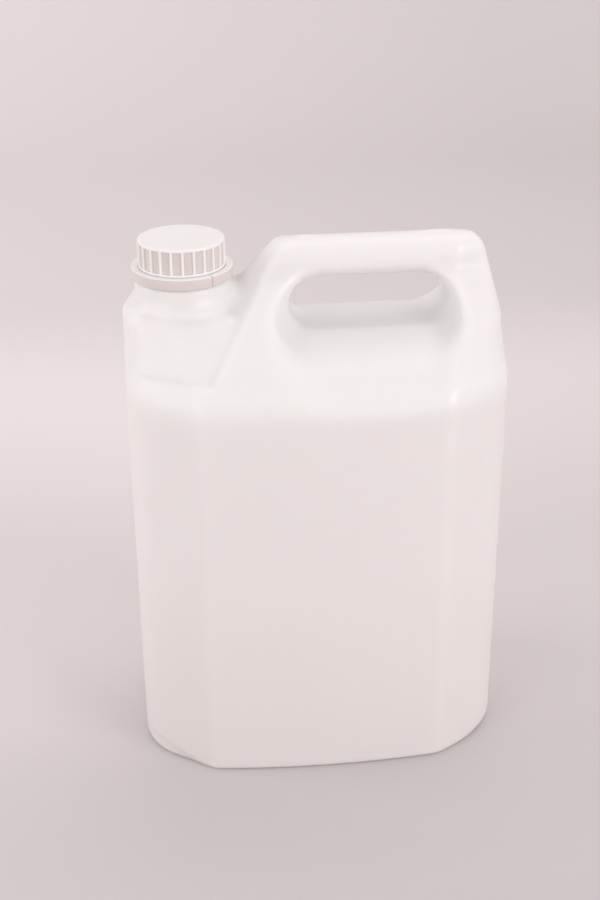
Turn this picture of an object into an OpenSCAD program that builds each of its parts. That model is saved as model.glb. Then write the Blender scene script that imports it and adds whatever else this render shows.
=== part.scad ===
/* [Bottle] */
// Overall width, from the neck side to the handle side
body_w = 196.2; // [186:0.2:210]
// Depth at the middle of the crowned front and back panels
body_d = 132.4; // [126:0.2:140]
// Overall height, to the top of the handle
body_h = 283; // [278:1:292]
// Width of the front panel between its two chamfers
panel_w = 124.4; // [112:0.2:132]
// Crown of the front and back panels
panel_crown = 3.6; // [1:0.1:5]
// Angle between the front panel and the corner chamfers
chamfer_angle = 31; // [26:1:36]
// Radius where a chamfer runs into the side
side_r = 35; // [20:1:40]
// Rounding of the base at the two sides
base_side_r = 14; // [8:1:20]
// Rounding of the base at the front and back
base_front_r = 2.5; // [2:0.5:6]
// Height of the sloping roof, from the eaves to the top of the handle
roof_h = 66; // [64:1:68]
// Rounding of the eaves
eave_r = 18; // [8:1:24]
// Slope of the roof above the front and back panels
roof_angle = 45; // [43:1:47]
// Wall thickness, measured level
wall = 1.4; // [1:0.1:2]

/* [Handle] */
// Depth of the grip bar, front to back
bar_d = 25; // [21:0.5:29]
// Height of the grip bar
bar_h = 21; // [18:0.5:24]
// Length of the finger hole
hole_w = 82; // [72:1:88]
// Height of the finger hole under the bar
hole_h = 23; // [20:0.5:25]
// Width of the post between the finger hole and the far side
post_w = 30.1; // [26:0.1:34]
// Length of the level sill under the bar, front to back
sill_d = 37; // [32:1:42]
// How far the scoop is wider than the hole on the neck side
scoop_left = 8.5; // [4:0.5:11]
// How far the scoop is wider than the hole on the far side
scoop_right = 3; // [1:0.5:5]

/* [Neck] */
// Height of the ledge that the neck block rises from, above the eaves
ledge_h = 8; // [6:1:10]
// Height of the block, from the ledge to the flat shoulder that carries the neck
block_h = 25; // [23:1:27]
// How far the block's roof lies behind the roof of the handle side
block_step = 2.4; // [1:0.1:4]
// How far the block's upright walls lie inside those of the body
block_inset = 0.2; // [0.1:0.1:1]
// Distance from the can's neck side to the neck's axis
neck_inset = 31.3; // [29.5:0.1:33]
// Radius of the round pedestal under the tamper band
pedestal_r = 24.4; // [23:0.2:25.4]
// Height of the pedestal above the shoulder
pedestal_h = 14.6; // [13:0.2:16]
// Outer radius of the neck finish
finish_r = 17.5; // [17:0.1:18]
// Bore radius of the neck
bore_r = 15; // [13:0.5:15.5]

/* [Closure] */
// Outer radius of the cap over its ribs
cap_r = 22.2; // [21.6:0.1:23]
// Height of the cap's skirt and top
cap_h = 14; // [13:0.2:16]
// Number of grip ribs round the cap
rib_count = 24; // [18:1:30]
// Width of one grip rib
rib_w = 1.3; // [0.8:0.1:1.8]
// How far the ribs stand out of the skirt
rib_h = 0.9; // [0.5:0.1:1.2]
// Thickness of the cap's top
cap_top_t = 1.8; // [1.2:0.1:2.4]
// Thickness of the sealing disc inside the cap
liner_t = 1; // [0.6:0.1:1.5]
// Outer radius of the tamper band
band_r = 25.8; // [25.4:0.1:27]
// Height of the tamper band
band_h = 5.6; // [4.6:0.2:7]
// Number of breakable bridges between the band and the cap
bridge_count = 12; // [4:1:16]
// Height of the thread's ridge, for which the cap leaves room round the neck
thread_h = 1.1; // [0.7:0.1:1.2]

/* [Contents] */
// Depth of the liquid's surface below the eaves
fill_drop = 9; // [9:1:120]

/* [Hidden] */
$fn = 96;

natural_plastic = [0.95, 0.94, 0.93];
white_plastic = [0.98, 0.97, 0.97];
foam_grey = [0.86, 0.88, 0.90];
liquid_grey = [0.88, 0.85, 0.84];

// Clearance between pieces that only rest against each other
slack = 0.25;
// Clearance between the neck and what turns on it
turning_gap = 0.4;

half_w = body_w / 2;
half_panel = panel_w / 2;
corner_d = body_d / 2 - panel_crown;
eave_z = body_h - roof_h;
ledge_z = eave_z + ledge_h;
shoulder_z = ledge_z + block_h;
fill_z = eave_z - fill_drop;
neck_x = half_w - neck_inset;
bar_z = body_h - bar_h / 2;
hole_top = body_h - bar_h;
sill_z = hole_top - hole_h;
hole_right = half_w - post_w;
hole_left = hole_right - hole_w;

// Corner b of a path a-b-c, rounded with radius r into n + 1 points
function unit(v) = v / norm(v);
function corner(a, b, c, r, n = 4) =
    let (u = unit(a - b), v = unit(c - b),
         half = acos(max(-1, min(1, u * v))) / 2,
         centre = b + unit(u + v) * r / sin(half),
         from = b + u * r / tan(half) - centre,
         turn = sign(u[0] * v[1] - u[1] * v[0]) * (2 * half - 180))
    [for (i = [0:n])
        let (t = turn * i / n)
        centre + [from[0] * cos(t) - from[1] * sin(t), from[0] * sin(t) + from[1] * cos(t)]];

// Open path with its inner corners rounded, and the same path as a table of x over y
function rounded(path, radii) = concat(
    [path[0]],
    [for (i = [1:len(path) - 2]) each corner(path[i - 1], path[i], path[i + 1], radii[i - 1])],
    [path[len(path) - 1]]);
function over_y(path) = [for (p = path) [p[1], p[0]]];

// Side view: half depth of the can over its height, at the ends of the front panel
roof_end_z = eave_z + (corner_d - bar_d / 2) * tan(roof_angle);
depth_table = over_y(concat(
    rounded([[corner_d - base_front_r, 0], [corner_d, 0], [corner_d, eave_z],
             [bar_d / 2, roof_end_z], [bar_d / 2, bar_z]],
            [base_front_r, eave_r, 6]),
    [for (a = [15:15:75]) [bar_d / 2 * cos(a), bar_z + bar_h / 2 * sin(a)]],
    [[1.2, body_h]]));
function depth_at(z) = lookup(z, depth_table);

// Front view: the far side over the height, which leans in above the eaves
side_lean = 9.2;
lean_start = 21;
top_end = 15.5;
top_corner_r = 15;
side_table = over_y(rounded(
    [[half_w - base_side_r, 0], [half_w, 0], [half_w, eave_z + lean_start],
     [half_w - side_lean, body_h - 11], [half_w - side_lean - 3, body_h],
     [half_w - side_lean - top_end - 3, body_h + 0.5]],
    [base_side_r, 60, 20, top_corner_r]));
function side_at(z) = lookup(z, side_table);

// Front view: the spine of the strut, which climbs from the neck block to the bar
spine_low = -half_w + 12.4;
spine_knee = hole_left - 22.5;
spine_high = hole_left - 4.5;
spine_table = over_y(rounded(
    [[spine_low, ledge_z], [spine_knee, body_h - 19.7], [spine_high, body_h - 0.5],
     [spine_high + 12, body_h]], [20, 8]));
function spine_at(z) = lookup(z, spine_table);
strut_flank = 0.61;

// Level section with corners p0 to p3 on the front side, mirrored to the back.
// The panel between p1 and p2 is crowned: by rise at x = 0, by nothing at p2.
function flip(p) = [p[0], -p[1]];
function crown(x, end, rise) = rise * max(0, 1 - pow(x / end, 2));
crown_n = 6;
function section(p, r, rise) =
    let (half = concat(
        corner(flip(p[0]), p[0], p[1], r[0]),
        corner(p[0], p[1], p[2], r[1], 2),
        [for (i = [1:crown_n - 1])
            let (x = p[1][0] + (p[2][0] - p[1][0]) * i / crown_n)
            [x, p[2][1] - crown(x, p[2][0], rise)]],
        corner(p[1], p[2], p[3], r[2], 2),
        corner(p[2], p[3], flip(p[3]), r[3])))
    concat(half, [for (i = [len(half) - 1:-1:0]) flip(half[i])]);
panel_r = 9;
function crown_at(z) = panel_crown * max(0, min(1, (bar_z - z) / (bar_z - eave_z)));

// End of the panel, which creeps outwards on the roof, and the chamfer's far corner
chamfer_k = tan(chamfer_angle);
roof_creep = 0.19;
function panel_end(z) = half_panel + max(0, z - eave_z) * roof_creep;
function side_corner(x, end, d) = d - (x - end) * chamfer_k;
function side_round(s, w) = max(0.4, min(side_r, 1.5 * s) - w);

// Sections at height z, with the walls set in by w: the whole body, and the handle side alone
function body_section(z, w) =
    let (d = depth_at(z) - w,
         x = side_at(min(z, eave_z - 10)) - w,
         far_x = side_at(z) - w,
         end = half_panel - w * tan(chamfer_angle / 2),
         far_end = panel_end(z) - w * tan(chamfer_angle / 2),
         near = side_corner(x, end, d),
         far = side_corner(far_x, far_end, d))
    section([[-x, -near], [-end, -d], [far_end, -d], [far_x, -far]],
            [side_round(near, w), panel_r, panel_r, side_round(far, w)], crown_at(z));

function handle_section(z, w) =
    let (d = max(0.6, depth_at(z) - w),
         x = side_at(z) - w,
         spine = spine_at(z) + w,
         tip = min(4, 0.4 * d),
         end = min(panel_end(z) - w * tan(chamfer_angle / 2), x - 3),
         far = max(0.35 * d, side_corner(x, end, d)),
         crease = spine + strut_flank * (d - tip))
    section([[spine, -tip], [crease, -d - crown(crease, end, crown_at(z))], [end, -d], [x, -far]],
            [0.5 * tip, min(panel_r, 0.3 * d), min(panel_r, 0.3 * d),
             min(side_round(far, w), 1.4 * far)], crown_at(z));

hip_creep = 0.5;
block_end = hole_left - 18;
function block_section(z, w, inset) =
    let (d = depth_at(z) - block_step - w - inset,
         x = half_w - block_inset - w - inset,
         hip = half_panel + max(0, z - ledge_z) * hip_creep,
         near = side_corner(x, hip, d))
    section([[-x, -near], [-hip, -d], [block_end, -d], [block_end + 3, -d + 4]],
            [side_round(near, w), 5, 0.5, 2], 0);

// Closed solid through level rings of equally many points
module loft(rings) {
    n = len(rings[0]);
    m = len(rings);
    sides = [for (j = [0:m - 2], i = [0:n - 1])
        let (k = (i + 1) % n, a = j * n + i, b = j * n + k)
        each [[a, a + n, b + n], [a, b + n, b]]];
    polyhedron(
        [for (ring = rings) each ring],
        concat([[for (i = [0:n - 1]) i]], sides, [[for (i = [n - 1:-1:0]) (m - 1) * n + i]]));
}
function lifted(ring, z) = [for (p = ring) [p[0], p[1], z]];

// Height of an inner ring, between a floor and a top that are also w thick
function inner_z(z, w) = w + z * (1 - 2 * w / body_h);

base_levels = [for (t = [0, 0.05, 0.18, 0.35, 0.6, 1]) t * base_side_r];
eave_levels = [for (t = [0:0.2:1]) eave_z - 8 + t * (ledge_z - eave_z + 8)];
wall_levels = [0.32 * eave_z, 0.6 * eave_z];
body_levels = concat(base_levels, wall_levels, eave_levels);
handle_levels = [for (t = [0:1 / 11:1])
    ledge_z + 0.6 + (body_h - ledge_z - 0.6) * sin(90 * t)];

module body_form(w) {
    loft(concat(
        [for (z = body_levels) lifted(body_section(z, w), inner_z(z, w))],
        [for (z = handle_levels) lifted(handle_section(z, w), inner_z(z, w))]));
}

// The lower block that carries the neck, with softened upper edges
module block_form(w) {
    height = shoulder_z - w;
    loft(concat(
        [for (t = [-0.6, 0.2, 0.5, 0.8, 1])
            let (z = ledge_z + t * (block_h - 5))
            lifted(block_section(z, w, 0), min(z, height - 3.4))],
        [for (s = [[1.6, 0.3], [0.6, 1], [0, 2.2]])
            lifted(block_section(shoulder_z - s[0], w, s[1]), height - s[0])]));
}

// Scoop and finger hole, as sections across the can at a distance a from its middle.
// The floor falls from the sill to the eaves.
sill_rise = 1;
scoop_z = eave_z + 1;
scoop_floor = rounded(
    [[0, sill_z + sill_rise], [sill_d / 2, sill_z], [corner_d - 14, scoop_z + 10],
     [corner_d + 3, scoop_z], [corner_d + 10, scoop_z - 8]],
    [7, 26, 12]);
function scoop_end(spread) = rounded(
    [[0, 0], [bar_d / 2, 0], [sill_d / 2 + 8, spread], [corner_d + 10, spread]], [12, 14]);
scoop_near = scoop_end(scoop_left);
scoop_far = scoop_end(scoop_right);
function scoop_r(a) = lookup(a, [[sill_d / 2, hole_h / 2 - 0.4], [45, 18]]);
function scoop_top(a, w) =
    let (d = bar_d / 2 - w, k = a / d)
    k > 1.001 ? body_h + 10 : bar_z - (bar_h / 2 - w) * sqrt(max(0, 1 - k * k));
function scoop_section(a, w) =
    let (x0 = hole_left - lookup(a, scoop_near) - w,
         x1 = hole_right + lookup(a, scoop_far) + w,
         z0 = lookup(a, scoop_floor) - w,
         z1 = scoop_top(a, w),
         r0 = scoop_r(a),
         r1 = hole_h / 2 - 1)
    concat(corner([x0, z1], [x0, z0], [x1, z0], r0 + w), corner([x0, z0], [x1, z0], [x1, z1], r0 + w),
           corner([x1, z0], [x1, z1], [x0, z1], r1), corner([x1, z1], [x0, z1], [x0, z0], r1));

module scoop(w) {
    d = bar_d / 2 - w;
    under_bar = [for (t = [0, 0.35, 0.6, 0.8, 0.92, 0.98, 1]) t * d];
    steps = [for (t = [0:1 / 10:1]) d + 0.3 + t * (corner_d + 7 - d)];
    half = concat(under_bar, steps);
    n = len(half);
    rotate([90, 0, 0])
        loft(concat(
            [for (i = [n - 1:-1:1]) lifted(scoop_section(half[i], w), -half[i])],
            [for (i = [0:n - 1]) lifted(scoop_section(half[i], w), half[i])]));
}

// The neck: pedestal, neck wall with its lip, and the bead that holds the tamper band
pedestal_top = shoulder_z + pedestal_h;
band_z = pedestal_top + slack;
band_top = band_z + band_h;
cap_z = band_top - 0.2;
cap_top = cap_z + cap_h;
lip_z = cap_top - cap_top_t - liner_t;
bead_h = 1;

// Wall of the tamper band, its hook under the bead, and the bridges round the cap's foot
band_t = 1.3;
hook_t = 0.9;
hook_gap = 0.3;
bridge_l = 0.6;
bridge_w = 1.6;
bridge_gap = 0.08;
bridge_turn = -45;
slit_turn = -56;
module neck_outside() {
    translate([-neck_x, 0, 0])
        rotate_extrude()
            polygon([
                [0, shoulder_z - 4], [pedestal_r, shoulder_z - 4],
                [pedestal_r, pedestal_top - 0.8], [pedestal_r - 0.8, pedestal_top],
                [finish_r, pedestal_top], [finish_r, band_z + hook_t + slack],
                [finish_r + bead_h, band_z + hook_t + slack + 0.6],
                [finish_r + bead_h, band_z + hook_t + slack + 1.2],
                [finish_r, band_z + hook_t + slack + 2], [finish_r, lip_z - 0.6],
                [finish_r - 0.6, lip_z],
                [0, lip_z]]);
}
module neck_inside() {
    translate([-neck_x, 0, 0])
        rotate_extrude()
            polygon([
                [0, shoulder_z - 8], [pedestal_r - wall, shoulder_z - 8],
                [pedestal_r - wall, pedestal_top - wall - 1], [pedestal_r - wall - 1, pedestal_top - wall],
                [bore_r, pedestal_top - wall], [bore_r, lip_z + 1], [0, lip_z + 1]]);
}

module bottle() {
    color(natural_plastic)
        difference() {
            union() {
                body_form(0);
                block_form(0);
                neck_outside();
            }
            scoop(0);
            difference() {
                union() {
                    body_form(wall);
                    block_form(wall);
                    neck_inside();
                }
                scoop(wall);
            }
        }
}

module liquid() {
    inset = wall + slack;
    levels = concat(base_levels, wall_levels, [fill_z]);
    color(liquid_grey)
        loft([for (z = levels) if (z <= fill_z) lifted(body_section(z, inset), inner_z(z, inset))]);
}

// Ring left on the neck when the cap is first opened: an upright wall with a flange
// round the cap's foot, and a hook below the bead
module tamper_band() {
    flange_r = cap_r + bridge_l;
    slit_w = 0.5;
    color(white_plastic)
        translate([-neck_x, 0, band_z])
            difference() {
                union() {
                    rotate_extrude()
                        polygon([
                            [finish_r + hook_gap, 0], [band_r, 0], [band_r, band_h - 0.4],
                            [band_r - 0.4, band_h], [flange_r, band_h], [flange_r, band_h - band_t],
                            [band_r - band_t, band_h - band_t], [band_r - band_t, hook_t],
                            [finish_r + hook_gap, hook_t]]);
                    for (i = [0:bridge_count - 1])
                        rotate([0, 0, bridge_turn + 360 * i / bridge_count])
                            translate([cap_r + bridge_gap, -bridge_w / 2, band_h - band_t])
                                cube([bridge_l - bridge_gap + 0.4, bridge_w, band_t - 0.3]);
                }
                rotate([0, 0, slit_turn])
                    translate([band_r - band_t - 1, -slit_w / 2, hook_t])
                        cube([band_t + 2, slit_w, band_h - band_t - hook_t]);
            }
}

// Screw cap: skirt with grip ribs between a foot ring and a flat top of full width
module cap() {
    inner_r = finish_r + thread_h + turning_gap;
    skirt_r = cap_r - rib_h;
    disc_t = min(1.2, cap_top_t);
    foot_h = 1.2;
    color(white_plastic)
        translate([-neck_x, 0, cap_z]) {
            rotate_extrude()
                polygon([
                    [inner_r, 0], [cap_r, 0], [cap_r, foot_h], [skirt_r, foot_h],
                    [skirt_r, cap_h - disc_t], [cap_r, cap_h - disc_t], [cap_r, cap_h - 0.4],
                    [cap_r - 0.4, cap_h], [0, cap_h], [0, cap_h - cap_top_t],
                    [inner_r, cap_h - cap_top_t]]);
            for (i = [0:rib_count - 1])
                rotate([0, 0, 360 * i / rib_count - 90])
                    translate([skirt_r - 0.5, -rib_w / 2, foot_h / 2])
                        cube([0.5 + rib_h - 0.1, rib_w, cap_h - foot_h / 2 - disc_t / 2]);
        }
}

module cap_liner() {
    color(foam_grey)
        translate([-neck_x, 0, lip_z])
            cylinder(h = liner_t, r = finish_r + thread_h);
}

bottle();
liquid();
tamper_band();
cap();
cap_liner();
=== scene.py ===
import math

import bpy
import numpy as np
from mathutils import Matrix, Vector


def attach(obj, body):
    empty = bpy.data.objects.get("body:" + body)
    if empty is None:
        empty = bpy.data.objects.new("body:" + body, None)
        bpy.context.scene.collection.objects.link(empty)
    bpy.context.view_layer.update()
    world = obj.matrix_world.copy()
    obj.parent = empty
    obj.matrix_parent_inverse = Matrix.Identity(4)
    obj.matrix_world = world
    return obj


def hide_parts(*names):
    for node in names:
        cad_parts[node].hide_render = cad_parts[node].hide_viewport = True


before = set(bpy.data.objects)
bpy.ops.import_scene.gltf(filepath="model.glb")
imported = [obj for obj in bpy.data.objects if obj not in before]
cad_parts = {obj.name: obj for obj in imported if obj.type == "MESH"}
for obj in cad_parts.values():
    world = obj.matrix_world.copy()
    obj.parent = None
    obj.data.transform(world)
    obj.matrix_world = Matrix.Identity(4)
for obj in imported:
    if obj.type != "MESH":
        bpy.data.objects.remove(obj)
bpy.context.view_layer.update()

MM = 0.001

# Sizes of the can, in millimetres. They are those of the solid model, apart from the base edges, the
# width of the scoops and the softness of the rims, which follow the real moulding more closely.
HALF_W = 98.1
HALF_PANEL = 62.2
CORNER_D = 62.6
CROWN = 3.6
CHAMFER_K = math.tan(math.radians(31))
SIDE_R = 35.0
PANEL_R = 9.0
BASE_LEFT_R, BASE_RIGHT_R = 16.0, 8.0
BASE_FRONT_R = 1.5
EAVE_Z = 217.0
EAVE_R = 18.0
TOP_Z = 283.0
BAR_D = 25.0
BAR_H = 21.0
BAR_Z = TOP_Z - BAR_H / 2
HOLE_LEFT, HOLE_RIGHT = -14.0, 68.0
HOLE_LOW, HOLE_HIGH = 239.0, 262.0
SILL_D = 37.0
SCOOP_LEFT, SCOOP_RIGHT = 8.5, 5.5
LEDGE_Z = 225.0
SHOULDER_Z = 250.0
BLOCK_STEP = 2.4
HIP_SPREAD = 0.5
FLANK_K = 0.61
NECK_X = -66.8
PEDESTAL_R = 24.4
PEDESTAL_TOP = 264.6
FINISH_R = 17.5
BORE_R = 15.0
LIP_Z = 281.45
BAND_R = 25.8
BAND_Z = 264.85
BAND_TOP = 270.45
CAP_Z = 270.25
CAP_TOP = 284.25
BORE_DEPTH = 30.0
CAP_BORE_R = 19.0
RIBS = 24
THREAD_PITCH = 5.0
FILL_Z = 208.0

# Softness of the rims where two forms meet, in millimetres
BLOCK_HIP_R = 14.0
BLOCK_RIM = 3.0
BAR_FILLET = 18.0
FINE_RIM, SCOOP_RIM = 0.6, 9.0
SKIN_BLUR, BEND_BLUR = 0.9, 1.7
BEND_FULL = 0.6

# Height that the plastic's tones are spread over, in metres, and the colour of the studio light
TONE_SPAN = 0.2845
WARM = (1.0, 0.945, 0.94)


def corner(a, b, c, r, n=24):
    """Corner b of the path a, b, c as n + 1 points of an arc of radius r."""
    a, b, c = (np.asarray(p, float) for p in (a, b, c))
    u = (a - b) / np.linalg.norm(a - b)
    v = (c - b) / np.linalg.norm(c - b)
    half = math.acos(max(-1.0, min(1.0, float(u @ v)))) / 2
    w = (u + v) / np.linalg.norm(u + v)
    centre = b + w * r / math.sin(half)
    start = b + u * r / math.tan(half) - centre
    turn = (2 * half - math.pi) * np.sign(u[0] * v[1] - u[1] * v[0])
    out = []
    for i in range(n + 1):
        t = turn * i / n
        out.append((centre[0] + start[0] * math.cos(t) - start[1] * math.sin(t),
                    centre[1] + start[0] * math.sin(t) + start[1] * math.cos(t)))
    return out


def rounded(path, radii):
    """Path with each inner corner turned into an arc."""
    out = [tuple(path[0])]
    for i in range(1, len(path) - 1):
        out += corner(path[i - 1], path[i], path[i + 1], radii[i - 1])
    return out + [tuple(path[-1])]


def table(path, along=1):
    """Rising lookup of the other coordinate over the coordinate number along."""
    pts = np.array(path, float)
    return pts[:, along], pts[:, 1 - along]


def look(x, tab):
    """Value of a table at x."""
    return np.interp(x, tab[0], tab[1])


def rmax(a, b, r, c):
    """Intersection of two fields whose normals have the cosine c, with radius r."""
    p, q = a + r, b + r
    s2 = np.maximum(1e-6, 1 - c * c)
    d = np.sqrt(np.maximum(0.0, (p * p + q * q - 2 * p * q * c) / s2)) - r
    return np.where((p > q * c) & (q > p * c), d, np.maximum(a, b))


def smax(a, b, k):
    """Intersection of two fields, softened over the distance k."""
    h = np.maximum(k - np.abs(a - b), 0) / k
    return np.maximum(a, b) + h * h * k / 4


roof_end_z = EAVE_Z + (CORNER_D - BAR_D / 2)
depth_tab = table(
    rounded([(CORNER_D - BASE_FRONT_R, 0), (CORNER_D, 0), (CORNER_D, EAVE_Z),
             (BAR_D / 2, roof_end_z), (BAR_D / 2, BAR_Z)], [BASE_FRONT_R, EAVE_R, 8])
    + [(BAR_D / 2 * math.cos(a), BAR_Z + BAR_H / 2 * math.sin(a))
       for a in np.radians(np.arange(3, 90, 3))] + [(0.3, TOP_Z)])
side_tab = table(rounded(
    [(HALF_W - BASE_RIGHT_R, 0), (HALF_W, 0), (HALF_W, EAVE_Z + 21), (88.9, 272), (85.9, TOP_Z),
     (70.4, TOP_Z + 0.5)], [BASE_RIGHT_R, 30, 20, 15]))
left_tab = table(rounded(
    [(HALF_W - BASE_LEFT_R, 0), (HALF_W, 0), (HALF_W, EAVE_Z)], [BASE_LEFT_R]))
spine_tab = table(rounded(
    [(-85.7, LEDGE_Z), (-36.5, TOP_Z - 19.7), (-18.5, TOP_Z - 0.5), (-6.5, TOP_Z)], [20, 8]))
scoop_tab = table(rounded(
    [(0, HOLE_LOW + 1), (SILL_D / 2, HOLE_LOW), (CORNER_D - 14, EAVE_Z + 11),
     (CORNER_D + 3, EAVE_Z + 1), (CORNER_D + 10, EAVE_Z - 7)], [7, 26, 12]), along=0)


def end_tab(spread):
    """How far an end wall of the scoop stands outside the hole, over the distance from the middle."""
    return table(rounded([(0, 0), (BAR_D / 2, 0), (SILL_D / 2 + 8, spread),
                          (CORNER_D + 10, spread)], [12, 14]), along=0)


near_tab, far_tab = end_tab(SCOOP_LEFT), end_tab(SCOOP_RIGHT)


def crown_k(z):
    """Share of the panel's crown at height z: whole up to the eaves, none at the bar."""
    return np.clip((BAR_Z - z) / (BAR_Z - EAVE_Z), 0, 1)


def slope_of(z, tab, h=0.5):
    """Change of the profile over the height."""
    return (look(z + h, tab) - look(z - h, tab)) / (2 * h)


def side_field(x, ay, z, end, d, side, far, dz, sz):
    """Panel, chamfer and side of one half of a level section, with the profiles' slopes dz and sz."""
    k = np.maximum(0.02, (d - far) / np.maximum(1.0, side - end))
    panel_n = 1 / np.sqrt(1 + dz * dz)
    chamfer_n = 1 / np.sqrt(1 + k * k + dz * dz)
    side_n = 1 / np.sqrt(1 + sz * sz)
    panel = (ay - d - CROWN * crown_k(z) * np.maximum(0, 1 - (x / end) ** 2)) * panel_n
    chamfer = ((ay - d) + (x - end) * k) * chamfer_n
    side_f = (x - side) * side_n
    tilt = (1 + sz * sz + (dz - k * sz) ** 2) ** -0.25
    r = np.clip(1.5 * far, 2.0, SIDE_R) * tilt
    f = rmax(chamfer, side_f, r, (k + dz * sz) * chamfer_n * side_n)
    return rmax(panel, f, np.minimum(PANEL_R, 0.5 * d), (1 + dz * dz) * panel_n * chamfer_n)


def body_field(x, ay, z):
    """Lower body up to the ledge, both halves."""
    d = look(z, depth_tab)
    side = look(z, left_tab)
    dz, sz = slope_of(z, depth_tab), slope_of(z, left_tab)
    end = HALF_PANEL + 0 * z
    far = d - (side - end) * CHAMFER_K
    return side_field(-x, ay, z, end, d, side, far, dz, sz)


def handle_parts(x, ay, z):
    """Handle side: its right half, and its left end at the strut's flank."""
    d = look(z, depth_tab)
    side = look(z, side_tab)
    dz, sz = slope_of(z, depth_tab), slope_of(z, side_tab)
    end = np.minimum(HALF_PANEL + 0.19 * np.maximum(0, z - EAVE_Z), side - 3)
    far = np.maximum(0.35 * d, d - (side - end) * CHAMFER_K)
    right = side_field(x, ay, z, end, d, side, far, dz, sz)
    spine = look(z, spine_tab)
    tip = np.minimum(4, 0.4 * d)
    flank = (FLANK_K * (ay - tip) - (x - spine)) / 1.171 * 0.72
    nose = (spine - x) * 0.64
    left = rmax(flank, nose, 3.0, 0.85)
    return right, left


def block_field(x, ay, z):
    """Neck block: the body's end, set back by one step and cut off level at the shoulder."""
    d = look(z, depth_tab) - BLOCK_STEP
    hip = HALF_PANEL + np.maximum(0, z - LEDGE_Z) * HIP_SPREAD
    far = d - (HALF_W - hip) * CHAMFER_K
    dz = slope_of(z, depth_tab)
    hz = dz + HIP_SPREAD * CHAMFER_K * (z > LEDGE_Z)
    panel_n = 1 / np.sqrt(1 + dz * dz)
    chamfer_n = 1 / np.sqrt(1 + CHAMFER_K ** 2 + hz * hz)
    panel = (ay - d) * panel_n
    chamfer = ((ay - d) + (-x - hip) * CHAMFER_K) * chamfer_n
    r = np.clip(1.5 * far, 2.0, SIDE_R) * (1 + hz * hz) ** -0.25
    f = rmax(chamfer, -x - HALF_W, r, CHAMFER_K * chamfer_n)
    f = rmax(panel, f, BLOCK_HIP_R, (1 + dz * hz) * panel_n * chamfer_n)
    f = smax(f, z - SHOULDER_Z, BLOCK_RIM)
    return np.maximum(f, x + 30)


def rounded_box(qx, qz, r):
    """Field of a box with corners of radius r, from the distances past its sides."""
    ax, az = qx + r, qz + r
    return np.hypot(np.maximum(ax, 0), np.maximum(az, 0)) + np.minimum(np.maximum(ax, az), 0) - r


def cut_field(x, ay, z):
    """Empty space of the finger hole and of the scoop on both sides of it."""
    bar = (np.hypot(ay / (BAR_D / 2), (z - BAR_Z) / (BAR_H / 2)) - 1) * 11.5
    mid, half = (HOLE_LEFT + HOLE_RIGHT) / 2, (HOLE_RIGHT - HOLE_LEFT) / 2
    zc, hz = (HOLE_LOW + HOLE_HIGH) / 2, (HOLE_HIGH - HOLE_LOW) / 2
    slot = rounded_box(np.abs(x - mid) - half, np.abs(z - zc) - hz, 11.0)
    x0 = HOLE_LEFT - look(ay, near_tab)
    x1 = HOLE_RIGHT + look(ay, far_tab)
    floor = (look(ay, scoop_tab) - z) * 0.92
    r = np.interp(ay, [SILL_D / 2, 45, 62], [11.0, 20.0, 28.0])
    dish = rounded_box(np.maximum(x0 - x, x - x1), floor, r)
    return np.minimum(slot, smax(dish, -bar, BAR_FILLET))


def can_field(x, y, z):
    """Outer form of the bottle: body, handle, neck block and pedestal, less hole and scoops."""
    ay = np.abs(y)
    right, left = handle_parts(x, ay, z)
    lower = np.maximum(np.maximum(body_field(x, ay, z), right), z - LEDGE_Z)
    f = np.minimum(lower, np.maximum(right, left))
    f = np.minimum(f, block_field(x, ay, z))
    ring = np.hypot(x - NECK_X, y)
    neck = np.maximum(ring - PEDESTAL_R, np.maximum(z - PEDESTAL_TOP, SHOULDER_Z - 3 - z))
    blend = np.interp(z, [SHOULDER_Z - 2, SHOULDER_Z + 2, PEDESTAL_TOP - 7, PEDESTAL_TOP - 1.5],
                      [2.0, 12.0, 12.0, 3.0])
    f = -smax(-f, -neck, blend)
    f = smax(f, -cut_field(x, ay, z), np.interp(ay, [BAR_D / 2 + 3, 42], [FINE_RIM, SCOOP_RIM]))
    f = np.maximum(f, -np.maximum(ring - BORE_R, SHOULDER_Z - 12 - z))
    return np.maximum(f, -z)


def steps(*stops):
    """Grid lines through (start, step, end) stretches."""
    out = []
    for a, step, b in stops:
        n = max(1, round((b - a) / step))
        out += list(np.linspace(a, b, n + 1)[:-1])
    return np.array(out + [stops[-1][2]])


def blur(f, axis, sigma):
    """Gaussian average along one axis, sigma in grid steps."""
    n = int(math.ceil(3 * sigma))
    k = np.exp(-0.5 * (np.arange(-n, n + 1) / sigma) ** 2)
    k /= k.sum()
    pad = [(0, 0)] * 3
    pad[axis] = (n, n)
    g = np.pad(f, pad, mode="edge")
    out = np.zeros_like(f)
    size = f.shape[axis]
    for i, w in enumerate(k):
        cut = [slice(None)] * 3
        cut[axis] = slice(i, i + size)
        out += w * g[tuple(cut)]
    return out


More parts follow.
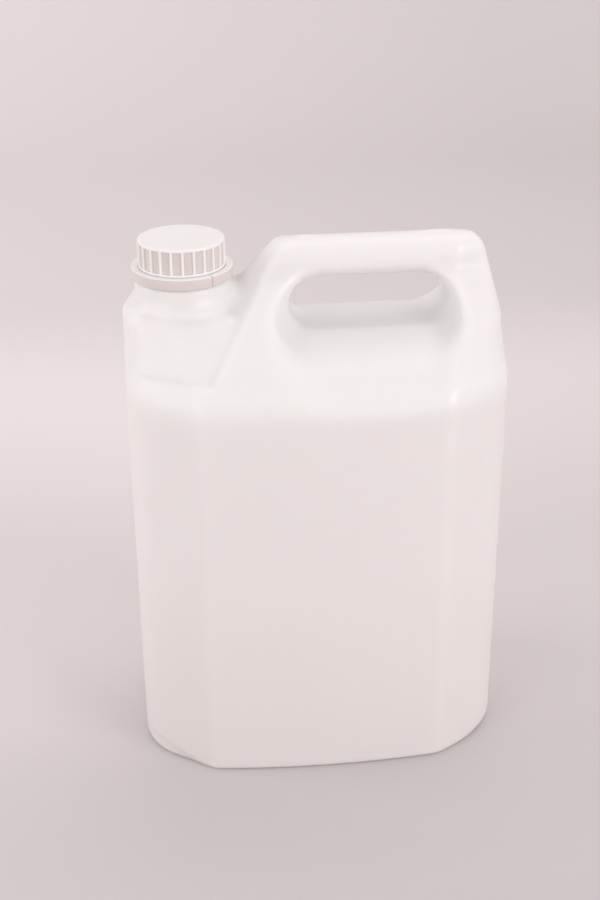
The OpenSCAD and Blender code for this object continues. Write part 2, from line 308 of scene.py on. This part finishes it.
def surface(f, axes):
    """Quad mesh of the zero level of f on a grid: one point per cell that the level crosses."""
    shape = tuple(n - 1 for n in f.shape)
    total, count = np.zeros(shape + (3,)), np.zeros(shape)
    edges = []
    for ax in range(3):
        o1, o2 = (ax + 1) % 3, (ax + 2) % 3
        lo, hi = [slice(None)] * 3, [slice(None)] * 3
        lo[ax], hi[ax] = slice(0, -1), slice(1, None)
        fa, fb = f[tuple(lo)], f[tuple(hi)]
        idx = np.argwhere((fa < 0) != (fb < 0))
        va, vb = fa[tuple(idx.T)], fb[tuple(idx.T)]
        pts = np.stack([axes[i][idx[:, i]] for i in range(3)], 1)
        pts[:, ax] += va / (va - vb) * (axes[ax][idx[:, ax] + 1] - axes[ax][idx[:, ax]])
        around = []
        for d1, d2 in ((0, 0), (-1, 0), (-1, -1), (0, -1)):
            c = idx.copy()
            c[:, o1] += d1
            c[:, o2] += d2
            around.append(c)
            np.add.at(total, tuple(c.T), pts)
            np.add.at(count, tuple(c.T), 1)
        edges.append((around, va < 0))
    cells = np.argwhere(count > 0)
    ids = np.full(shape, -1)
    ids[tuple(cells.T)] = np.arange(len(cells))
    verts = total[tuple(cells.T)] / count[tuple(cells.T)][:, None]
    faces = []
    for around, keep in edges:
        q = np.stack([ids[tuple(c.T)] for c in around], 1)
        q[~keep] = q[~keep][:, ::-1]
        faces.append(q)
    return verts, np.concatenate(faces), cells


def add_mesh(name, verts, faces):
    """New smooth object from points in millimetres."""
    mesh = bpy.data.meshes.new(name)
    mesh.from_pydata((np.asarray(verts, float) * MM).tolist(), [], [list(map(int, f)) for f in faces])
    mesh.validate()
    mesh.update()
    mesh.polygons.foreach_set("use_smooth", [True] * len(mesh.polygons))
    obj = bpy.data.objects.new(name, mesh)
    bpy.context.scene.collection.objects.link(obj)
    return obj


def bottle_skin():
    """Outside of the bottle, with the curvature of its surface in the attribute bend."""
    xs = steps((-101.4, 1.3, 101.4))
    ys = steps((-70.2, 1.3, 70.2))
    zs = steps((-3.9, 1.3, 31.2), (31.2, 3.0, 200.2), (200.2, 1.2, 287.0))
    x, y, z = np.meshgrid(xs, ys, zs, indexing="ij", sparse=True)
    f = np.clip(can_field(x + 0 * y + 0 * z, y + 0 * x + 0 * z, z + 0 * x + 0 * y), -9, 9)
    fine = ((zs < 27) | (zs > 204))[None, None, :]
    f = blur(blur(f, 0, SKIN_BLUR), 1, SKIN_BLUR)
    f = np.where(fine, blur(f, 2, SKIN_BLUR), f)
    verts, faces, cells = surface(f, (xs, ys, zs))
    g = blur(blur(f, 0, BEND_BLUR), 1, BEND_BLUR)
    g = np.where(fine, blur(g, 2, BEND_BLUR), g) - f
    bend = np.zeros(len(cells))
    for i in range(8):
        at = cells + np.array([i & 1, i >> 1 & 1, i >> 2])
        bend += g[tuple(at.T)] / 8
    piece = add_mesh("bottle_skin", verts, faces)
    layer = piece.data.attributes.new("bend", "FLOAT", "POINT")
    layer.data.foreach_set("value", np.clip(bend / BEND_FULL, -1, 1))
    return piece


def lathe(name, rows, angles, centre, waves=()):
    """Turned piece with a closed profile. rows are (radius, height, weight of each wave ...); waves are
    radii over the angles. A row of radius 0 is one point."""
    verts, rings = [], []
    for row in rows:
        r, h = row[0], row[1]
        if r == 0:
            rings.append([len(verts)])
            verts.append((centre, 0, h))
            continue
        radii = r + sum((w * wave for w, wave in zip(row[2:], waves)), np.zeros(len(angles)))
        rings.append(list(range(len(verts), len(verts) + len(angles))))
        verts += [(centre + q * math.cos(a), q * math.sin(a), h) for q, a in zip(radii, angles)]
    faces = []
    for a, b in zip(rings, rings[1:] + rings[:1]):
        n = max(len(a), len(b))
        for i in range(n):
            k = (i + 1) % n
            if len(a) == 1:
                faces.append((a[0], b[k], b[i]))
            elif len(b) == 1:
                faces.append((a[i], a[k], b[0]))
            else:
                faces.append((a[i], a[k], b[k], b[i]))
    return add_mesh(name, verts, faces)


def spread(marks, period, count):
    """Angles of a pattern repeated count times round the circle, in radians."""
    return np.array([math.radians(period * i + m) for i in range(count) for m in marks])


def neck_finish():
    """Neck above the pedestal: bead, thread of one start, lip and the bore inside."""
    n = 160
    angles = np.linspace(0, 2 * math.pi, n, endpoint=False)
    bottom = LIP_Z - BORE_DEPTH
    lip = [(BORE_R, bottom), (BORE_R, LIP_Z - 0.5), (BORE_R + 0.3, LIP_Z - 0.1),
           (BORE_R + 0.8, LIP_Z), (FINISH_R - 0.8, LIP_Z), (FINISH_R - 0.25, LIP_Z - 0.2),
           (FINISH_R, LIP_Z - 0.7)]
    threaded = [(FINISH_R, h) for h in np.arange(LIP_Z - 1.0, LIP_Z - 11.0, -0.25)]
    low = BAND_Z + 1.15
    bead = [(FINISH_R, low + 2.4), (FINISH_R + 0.3, low + 1.9), (FINISH_R + 0.9, low + 1.3),
            (FINISH_R + 1.0, low + 1.1), (FINISH_R + 1.0, low + 0.75), (FINISH_R + 0.85, low + 0.5),
            (FINISH_R + 0.1, low + 0.1), (FINISH_R, low), (FINISH_R, PEDESTAL_TOP - 0.6),
            (FINISH_R - 0.4, PEDESTAL_TOP - 0.6), (BORE_R + 0.2, bottom)]
    rows = lip + threaded + bead
    piece = lathe("neck_finish", rows, angles, NECK_X)
    for i in range(len(lip), len(lip) + len(threaded)):
        for k in range(n):
            v = piece.data.vertices[i * n + k]
            h = ridge(rows[i][1], angles[k])
            if h > 0:
                r = FINISH_R + 1.05 * h
                v.co.x = (NECK_X + r * math.cos(angles[k])) * MM
                v.co.y = r * math.sin(angles[k]) * MM
    return piece


def ridge(z, a, start=LIP_Z - 9.2, turns=1.6):
    """Height, from 0 to 1, of a helical thread at height z and angle a."""
    k = round((z - start) / THREAD_PITCH - a / (2 * math.pi))
    s = k + a / (2 * math.pi)
    if s < 0 or s > turns:
        return 0.0
    off = abs(z - start - s * THREAD_PITCH)
    fade = min(1.0, s / 0.06, (turns - s) / 0.06)
    return fade * max(0.0, min(1.0, (1.05 - off) / 0.6))


def cap_piece():
    """Screw cap with its foot ring, grip ribs, rounded rim, and the thread inside."""
    marks = (-7.5, -5.2, -3.1, -2.1, -1.7, -1.3, -0.8, 0, 0.8, 1.3, 1.7, 2.1, 3.1, 5.2)
    angles = spread(marks, 360 / RIBS, RIBS) - math.pi / 2
    rib = {0: 1.0, 0.8: 0.97, 1.3: 0.8, 1.7: 0.42, 2.1: 0.1, 3.1: 0.0, 5.2: 0.0, 7.5: 0.0}
    wave = 0.95 * np.array([rib[abs(m)] for _ in range(RIBS) for m in marks])
    h = CAP_TOP - CAP_Z
    rows = [(19.3, 0, 0), (21.7, 0, 0), (22.0, 0.1, 0), (22.15, 0.35, 0), (22.15, 0.9, 0),
            (22.0, 1.15, 0.1), (21.6, 1.3, 0.5), (21.25, 1.45, 0.97), (21.22, 1.7, 1)]
    rows += [(21.2, q, 1) for q in (3, 5, 7, 9, 11, 12)]
    rows += [(21.2, h - 1.75, 1), (21.22, h - 1.6, 0.95), (21.4, h - 1.45, 0.7),
             (21.7, h - 1.32, 0.3), (21.9, h - 1.2, 0), (21.95, h - 1.0, 0), (21.95, h - 0.55, 0),
             (21.85, h - 0.28, 0), (21.62, h - 0.1, 0), (21.25, h - 0.02, 0), (20.8, h, 0),
             (17, h, 0), (9, h, 0), (0, h)]
    outer = [(r, CAP_Z + z, *w) for r, z, *w in rows]
    inside = [(0, h - 1.8), (12, h - 1.8, 0), (18.4, h - 1.8, 0), (18.9, h - 2.0, 0)]
    inside += [(CAP_BORE_R, q, 0) for q in np.arange(h - 2.4, 1.0, -0.3)]
    inside += [(CAP_BORE_R, 0.4, 0), (19.1, 0.15, 0)]
    inner = [(r, CAP_Z + z, *w) for r, z, *w in inside]
    piece = lathe("screw_cap", outer + inner, angles, NECK_X, waves=(wave,))
    for v in piece.data.vertices:
        x, y, z = v.co.x / MM - NECK_X, v.co.y / MM, v.co.z / MM
        if abs(math.hypot(x, y) - CAP_BORE_R) < 0.01 and z < LIP_Z - 0.8:
            a = math.atan2(y, x) % (2 * math.pi)
            r = CAP_BORE_R - 1.0 * ridge(z, a, start=LIP_Z - 6.7, turns=1.0)
            v.co.x, v.co.y = (NECK_X + r * math.cos(a)) * MM, r * math.sin(a) * MM
    return piece


def band_piece():
    """Tamper band: a channel with its hook under the bead, one tear slit and the bridges' places."""
    slit, bridges = -56.0, [-45.0 + 30 * i for i in range(12)]
    marks = list(np.arange(0, 360, 2.5))
    for a in bridges:
        marks += [a - 2.2, a - 1.9, a + 1.9, a + 2.2]
    marks += [slit - 0.62, slit - 0.5, slit, slit + 0.5, slit + 0.62]
    marks = np.array(sorted(set(round(m % 360, 3) for m in marks)))
    keep = [i for i, m in enumerate(marks)
            if abs(m - slit % 360) < 0.7 or abs(m - slit % 360) > 1.2]
    marks = marks[keep]
    gap = np.array([1.0 if abs(m - slit % 360) < 0.55 else 0.0 for m in marks])
    near = np.array([min(abs((m - a + 180) % 360 - 180) for a in bridges) for m in marks])
    arm = (near < 2.0).astype(float)
    top = BAND_TOP - BAND_Z
    rows = [(17.8, 0, 0, 0), (25.4, 0, -1.0, 0), (25.7, 0.1, -1.2, 0), (BAND_R, 0.35, -1.2, 0),
            (BAND_R, top - 0.5, -1.2, 0), (25.72, top - 0.2, -1.2, 0), (25.5, top - 0.04, -1.1, 0),
            (25.2, top, -0.9, 0), (24.2, top - 0.02, 0, 0), (22.7, top - 0.04, 0, 0),
            (22.3, top - 0.06, 0, 0), (22.22, top - 0.12, 0, 0), (22.2, top - 0.3, 0, -0.02),
            (22.2, top - 1.2, 0, -0.02), (22.3, top - 1.3, 0, 0), (24.4, top - 1.3, 0, 0),
            (24.4, 0.9, 0, 0), (18.0, 0.9, 0, 0), (17.8, 0.7, 0, 0)]
    rows = [(r, BAND_Z + z, a, b) for r, z, a, b in rows]
    return lathe("tear_band", rows, np.radians(marks), NECK_X, waves=(gap, arm))


def material(name):
    """New material with its node tree and its shader."""
    m = bpy.data.materials.new(name)
    m.use_nodes = True
    nt = m.node_tree
    bsdf = next(n for n in nt.nodes if n.type == "BSDF_PRINCIPLED")
    return m, nt, bsdf


def node(nt, kind, **inputs):
    """New node with the named inputs set."""
    n = nt.nodes.new(kind)
    for key, value in inputs.items():
        n.inputs[key].default_value = value
    return n


def mapped(nt, source, to_low=0.0, to_high=1.0, low=0.0, high=1.0):
    """A value that runs from low to high, mapped to the range from to_low to to_high."""
    n = nt.nodes.new("ShaderNodeMapRange")
    for key, value in (("From Min", low), ("From Max", high), ("To Min", to_low), ("To Max", to_high)):
        n.inputs[key].default_value = value
    nt.links.new(source, n.inputs["Value"])
    return n.outputs["Result"]


def combined(nt, operation, a, b):
    """Result of a math node on two values."""
    n = nt.nodes.new("ShaderNodeMath")
    n.operation = operation
    nt.links.new(a, n.inputs[0])
    nt.links.new(b, n.inputs[1])
    return n.outputs[0]


def scaled(nt, colour, factor):
    """Colour times a value."""
    n = nt.nodes.new("ShaderNodeVectorMath")
    n.operation = "SCALE"
    nt.links.new(colour, n.inputs[0])
    nt.links.new(factor, n.inputs["Scale"])
    return n.outputs[0]


def ramp(nt, source, stops, interpolation="EASE"):
    """Colour ramp over a value, with stops as (position, colour)."""
    r = nt.nodes.new("ShaderNodeValToRGB")
    r.color_ramp.interpolation = interpolation
    while len(r.color_ramp.elements) < len(stops):
        r.color_ramp.elements.new(0.5)
    for e, (p, c) in zip(r.color_ramp.elements, stops):
        e.position = p
        e.color = (*c, 1)
    nt.links.new(source, r.inputs["Fac"])
    return r


def hdpe():
    """Natural milky plastic: the contents show as a slightly darker, warmer tone up to the fill line.
    Below it the tone darkens further towards the bottom as painted shade, and the surface's curvature
    paints shade into creases and hollows and a faint highlight on edges.
    """
    m, nt, bsdf = material("natural_hdpe")
    coord = nt.nodes.new("ShaderNodeTexCoord")
    split = nt.nodes.new("ShaderNodeSeparateXYZ")
    nt.links.new(coord.outputs["Object"], split.inputs[0])
    fill = FILL_Z * MM / TONE_SPAN
    # Painted shade: below the fill line the tone darkens towards the bottom; the warmer, darker step at
    # the fill line is the contents.
    tone = ramp(nt, mapped(nt, split.outputs["Z"], high=TONE_SPAN), [
        (0.0, (0.765, 0.745, 0.74)), (0.2, (0.80, 0.777, 0.77)), (fill - 0.30, (0.835, 0.815, 0.81)),
        (fill - 0.018, (0.845, 0.83, 0.825)), (fill + 0.012, (0.855, 0.86, 0.85)),
        (1.0, (0.86, 0.86, 0.86))], "LINEAR")
    cloud = node(nt, "ShaderNodeTexNoise", Scale=9.0, Detail=3.0, Roughness=0.5)
    nt.links.new(coord.outputs["Object"], cloud.inputs["Vector"])
    mottle = mapped(nt, cloud.outputs["Fac"], 0.985, 1.012)
    bend = nt.nodes.new("ShaderNodeAttribute")
    bend.attribute_name = "bend"
    # Painted shade and highlight: the curvature in bend darkens creases and hollows and lightens edges a
    # little.
    rim = mapped(nt, bend.outputs["Fac"], 0.955, 1.01, -1.0, 1.0)
    both = combined(nt, "MULTIPLY", mottle, rim)
    nt.links.new(scaled(nt, tone.outputs["Color"], both), bsdf.inputs["Base Color"])
    nt.links.new(mapped(nt, cloud.outputs["Fac"], 0.34, 0.44), bsdf.inputs["Roughness"])
    bsdf.inputs["Subsurface Weight"].default_value = 0.6
    bsdf.inputs["Subsurface Radius"].default_value = (1.0, 0.85, 0.8)
    bsdf.inputs["Subsurface Scale"].default_value = 0.006
    bsdf.inputs["IOR"].default_value = 1.5
    grain = node(nt, "ShaderNodeTexNoise", Scale=900.0, Detail=2.0, Roughness=0.6)
    nt.links.new(coord.outputs["Object"], grain.inputs["Vector"])
    swell = node(nt, "ShaderNodeTexNoise", Scale=22.0, Detail=2.0, Roughness=0.5)
    nt.links.new(coord.outputs["Object"], swell.inputs["Vector"])
    coarse = node(nt, "ShaderNodeBump", Strength=0.08, Distance=0.0015)
    nt.links.new(swell.outputs["Fac"], coarse.inputs["Height"])
    fine = node(nt, "ShaderNodeBump", Strength=0.12, Distance=0.00012)
    nt.links.new(grain.outputs["Fac"], fine.inputs["Height"])
    nt.links.new(coarse.outputs["Normal"], fine.inputs["Normal"])
    nt.links.new(fine.outputs["Normal"], bsdf.inputs["Normal"])
    return m


def white_plastic(name, radii, heights):
    """White closure plastic with painted light: lighter on the ribs and rims that stand out and on the top
    as painted highlight, a shaded grey in the grooves and low on the skirt as painted shade.
    """
    m, nt, bsdf = material(name)
    coord = nt.nodes.new("ShaderNodeTexCoord")
    cloud = node(nt, "ShaderNodeTexNoise", Scale=60.0, Detail=3.0, Roughness=0.55)
    nt.links.new(coord.outputs["Object"], cloud.inputs["Vector"])
    split = nt.nodes.new("ShaderNodeSeparateXYZ")
    nt.links.new(coord.outputs["Object"], split.inputs[0])
    flat = nt.nodes.new("ShaderNodeVectorMath")
    flat.operation = "MULTIPLY_ADD"
    flat.inputs[1].default_value = (1, 1, 0)
    flat.inputs[2].default_value = (-NECK_X * MM, 0, 0)
    nt.links.new(coord.outputs["Object"], flat.inputs[0])
    ring = nt.nodes.new("ShaderNodeVectorMath")
    ring.operation = "LENGTH"
    nt.links.new(flat.outputs[0], ring.inputs[0])
    # Painted light: the tone runs from a shaded grey to white by how far out and how high a point lies.
    out = mapped(nt, ring.outputs["Value"], low=radii[0] * MM, high=radii[1] * MM)
    up = mapped(nt, split.outputs["Z"], low=heights[0] * MM, high=heights[1] * MM)
    painted_light_share = combined(nt, "MAXIMUM", out, up)
    tone = ramp(nt, painted_light_share, [(0.0, (0.72, 0.67, 0.645)), (1.0, (0.92, 0.92, 0.92))], "LINEAR")
    mottle = mapped(nt, cloud.outputs["Fac"], 0.985, 1.01)
    nt.links.new(scaled(nt, tone.outputs["Color"], mottle), bsdf.inputs["Base Color"])
    nt.links.new(mapped(nt, cloud.outputs["Fac"], 0.30, 0.42), bsdf.inputs["Roughness"])
    bsdf.inputs["Subsurface Weight"].default_value = 0.15
    bsdf.inputs["Subsurface Radius"].default_value = (1.0, 0.9, 0.85)
    bsdf.inputs["Subsurface Scale"].default_value = 0.0015
    grain = node(nt, "ShaderNodeTexNoise", Scale=1800.0, Detail=2.0)
    nt.links.new(coord.outputs["Object"], grain.inputs["Vector"])
    bump = node(nt, "ShaderNodeBump", Strength=0.1, Distance=0.0001)
    nt.links.new(grain.outputs["Fac"], bump.inputs["Height"])
    nt.links.new(bump.outputs["Normal"], bsdf.inputs["Normal"])
    return m


def plain(name, colour, rough, scale, depth):
    """Material of a hidden node: one colour with a fine mottle and grain."""
    m, nt, bsdf = material(name)
    coord = nt.nodes.new("ShaderNodeTexCoord")
    cloud = node(nt, "ShaderNodeTexNoise", Scale=scale, Detail=3.0)
    nt.links.new(coord.outputs["Object"], cloud.inputs["Vector"])
    low = tuple(c * 0.97 for c in colour)
    tone = ramp(nt, cloud.outputs["Fac"], [(0.3, low), (0.7, colour)])
    nt.links.new(tone.outputs["Color"], bsdf.inputs["Base Color"])
    bsdf.inputs["Roughness"].default_value = rough
    bump = node(nt, "ShaderNodeBump", Strength=0.15, Distance=depth)
    nt.links.new(cloud.outputs["Fac"], bump.inputs["Height"])
    nt.links.new(bump.outputs["Normal"], bsdf.inputs["Normal"])
    return m


def give(obj, mat):
    """Make mat the only material of an object."""
    obj.data.materials.clear()
    obj.data.materials.append(mat)


MILKY = hdpe()
# Both closures get painted light: the cap is white on its ribs' faces, foot ring and top; the band's wall
# keeps the painted shade and only its top rim gets the painted highlight.
CAP_WHITE = white_plastic("white_cap", (21.4, 22.05), (CAP_TOP - 0.9, CAP_TOP - 0.2))
BAND_WHITE = white_plastic("white_band", (BAND_R + 1, BAND_R + 2), (BAND_TOP - 0.5, BAND_TOP - 0.1))
FOAM = plain("liner_foam", (0.83, 0.86, 0.88), 0.7, 700.0, 0.0002)
LIQUID = plain("contents", (0.84, 0.81, 0.80), 0.15, 12.0, 0.0)

skin = bottle_skin()
neck = neck_finish()
for piece in (skin, neck):
    give(piece, MILKY)
    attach(piece, "can")
    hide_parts("bottle")

band = band_piece()
give(band, BAND_WHITE)
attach(band, "can")
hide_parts("tamper_band")

cap = cap_piece()
give(cap, CAP_WHITE)
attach(cap, "cap")
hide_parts("cap")

give(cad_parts["cap_liner"], FOAM)
give(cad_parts["liquid"], LIQUID)


def stage_floor():
    """Plain sweep: a floor that rises behind the can in one curve. Its paper tone is graded as painted
    light, darker towards the camera and to the right.
    """
    pts = [(-1.6, 0.0), (1.2, 0.0)]
    pts += [(1.2 + 0.9 * math.sin(a), 0.9 - 0.9 * math.cos(a)) for a in np.radians(np.arange(5, 91, 5))]
    pts += [(2.1, 3.0)]
    verts, faces = [], []
    for y, z in pts:
        verts += [(-3000, y * 1000, z * 1000), (3000, y * 1000, z * 1000)]
    for i in range(len(pts) - 1):
        faces.append((2 * i, 2 * i + 1, 2 * i + 3, 2 * i + 2))
    obj = add_mesh("studio_sweep", verts, faces)
    m, nt, bsdf = material("paper_sweep")
    coord = nt.nodes.new("ShaderNodeTexCoord")
    split = nt.nodes.new("ShaderNodeSeparateXYZ")
    nt.links.new(coord.outputs["Object"], split.inputs[0])
    # Painted light on the paper: darkest near the camera, lightest about 0.45 m behind the can and a
    # little darker beyond, and darker from left to right.
    tone = ramp(nt, mapped(nt, split.outputs["Y"], low=-0.3, high=0.7), [
        (0.0, (0.57, 0.547, 0.55)), (0.15, (0.63, 0.605, 0.608)), (0.42, (0.75, 0.72, 0.724)),
        (0.75, (0.83, 0.797, 0.80)), (1.0, (0.735, 0.706, 0.709))])
    painted_floor_falloff = mapped(nt, split.outputs["X"], 1.03, 0.91, -0.3, 0.45)
    nt.links.new(scaled(nt, tone.outputs["Color"], painted_floor_falloff), bsdf.inputs["Base Color"])
    bsdf.inputs["Roughness"].default_value = 0.7
    give(obj, m)


def area(name, place, aim_z, size, power):
    """Soft rectangular light at a place, in metres, turned to the can's axis at the height aim_z."""
    data = bpy.data.lights.new(name, "AREA")
    data.shape = "RECTANGLE"
    data.size, data.size_y = size
    data.energy = power
    data.color = WARM
    obj = bpy.data.objects.new(name, data)
    obj.location = place
    obj.rotation_euler = (Vector((0, 0, aim_z)) - Vector(place)).to_track_quat("-Z", "Y").to_euler()
    bpy.context.scene.collection.objects.link(obj)


stage_floor()
area("key_right", (2.2, -2.1, 1.0), 0.12, (1.6, 1.4), 39)
area("fill_left", (-2.3, -2.0, 1.2), 0.12, (1.8, 1.8), 20)
area("rim_left", (-2.2, 0.2, 1.0), 0.12, (1.2, 1.4), 12)
area("overhead", (0.5, 0.85, 2.2), 0.1, (2.0, 1.4), 10.5)

world = bpy.data.worlds.new("studio")
bpy.context.scene.world = world
world.use_nodes = True
back = next(n for n in world.node_tree.nodes if n.type == "BACKGROUND")
back.inputs["Color"].default_value = (*WARM, 1)
back.inputs["Strength"].default_value = 0.62


def camera():
    """The photograph's view: 26 degrees down, nearly 6 degrees from the left, 86.5 mm on a 36 mm width."""
    th, roll, az = 0.4558, 0.0068, 0.0995
    fwd = Vector((math.sin(az) * math.cos(th), math.cos(az) * math.cos(th), -math.sin(th)))
    right = Vector((math.cos(az), -math.sin(az), 0))
    down = fwd.cross(right)
    r2 = right * math.cos(roll) + down * math.sin(roll)
    d2 = down * math.cos(roll) - right * math.sin(roll)
    data = bpy.data.cameras.new("camera")
    data.lens = 1441.11 / 900 * 36
    data.clip_end = 50
    obj = bpy.data.objects.new("camera", data)
    turn = Matrix((r2, -d2, -fwd)).transposed()
    obj.matrix_world = Matrix.Translation(Vector((-0.07710, -0.69687, 0.50567))) @ turn.to_4x4()
    bpy.context.scene.collection.objects.link(obj)
    bpy.context.scene.camera = obj


camera()
bpy.context.scene.view_settings.view_transform = "Standard"

bpy.context.view_layer.update()
